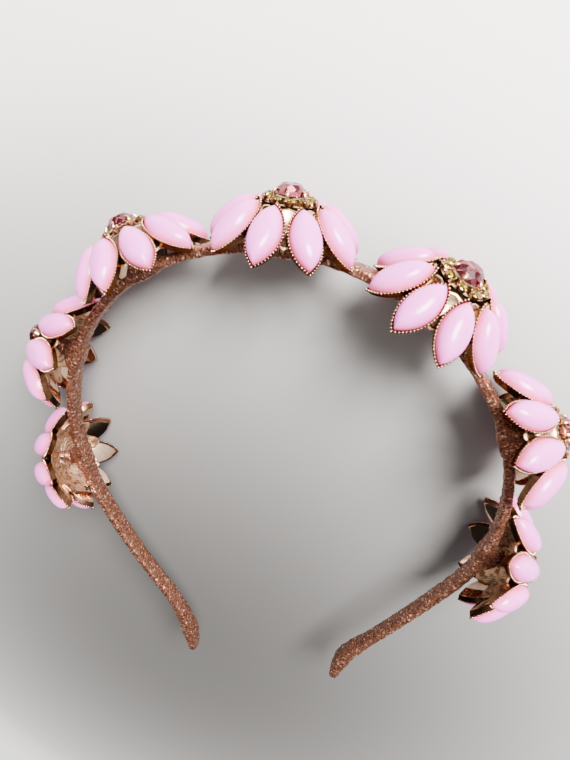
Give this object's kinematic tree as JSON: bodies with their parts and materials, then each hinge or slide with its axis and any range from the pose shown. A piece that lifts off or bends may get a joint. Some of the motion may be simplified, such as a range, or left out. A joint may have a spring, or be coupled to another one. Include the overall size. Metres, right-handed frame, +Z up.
{
  "type": "flower headband",
  "caption": "Narrow ribbon-wrapped headband with flared ends that carries a row of flowers made of pointed oval stones round a cut centre stone.",
  "frame": {"origin": "centre of the footprint, on the surface that the headband lies on", "axes": "+Y towards the crown of the band, +X towards the wearer's side that flower 7 is on, +Z up from the surface, across the width of the band"},
  "size_m": [0.154, 0.1742, 0.0361],
  "materials": {
    "ribbon": "metallic rose-gold glitter ribbon",
    "petal_stone": "polished opaque pink cabochons in gold cups",
    "gold": "polished light gold plating",
    "rose_crystal": "cut and polished"
  },
  "bodies": {
    "root": {"band": "ribbon", "petal_setting_1": "petal_stone", "cluster_1": "gold", "centre_stone_1": "rose_crystal", "petal_setting_2": "petal_stone", "cluster_2": "gold", "centre_stone_2": "rose_crystal", "petal_setting_3": "petal_stone", "cluster_3": "gold", "centre_stone_3": "rose_crystal", "petal_setting_4": "petal_stone", "cluster_4": "gold", "centre_stone_4": "rose_crystal", "petal_setting_5": "petal_stone", "cluster_5": "gold", "centre_stone_5": "rose_crystal", "petal_setting_6": "petal_stone", "cluster_6": "gold", "centre_stone_6": "rose_crystal", "petal_setting_7": "petal_stone", "cluster_7": "gold", "centre_stone_7": "rose_crystal"}
  },
  "joints": []
}
